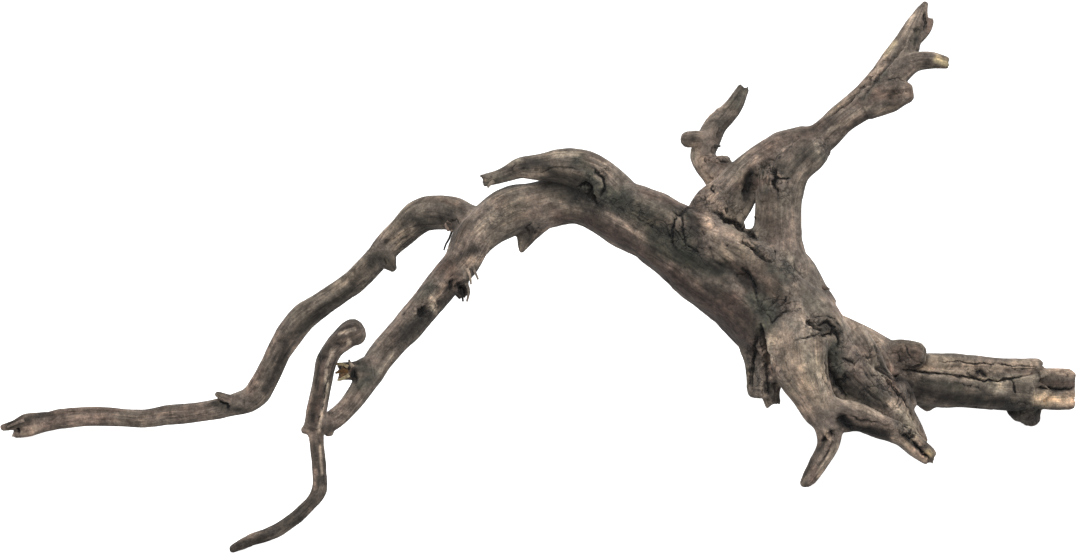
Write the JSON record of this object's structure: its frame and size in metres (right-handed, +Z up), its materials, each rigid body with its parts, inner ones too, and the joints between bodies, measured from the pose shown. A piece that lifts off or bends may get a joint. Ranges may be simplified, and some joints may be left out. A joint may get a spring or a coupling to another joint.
{
  "type": "piece of driftwood",
  "caption": "Weathered driftwood root with an arched trunk, long thin arms reaching out on one side, spreading root stubs, and an upright limb that forks above the trunk.",
  "frame": {"origin": "centre of the bounding box, at the height of the surface that the wood rests on", "axes": "+Z up, +X along the wood's length toward the thick root, -Y toward the side with the low twig"},
  "size_m": [0.724, 0.2294, 0.2861],
  "materials": {
    "driftwood": "weathered and matt, grey-brown with pale worn ridges, dark crevices and a greenish grey cast on the trunk"
  },
  "bodies": {
    "root": {"driftwood": "driftwood"}
  },
  "joints": []
}
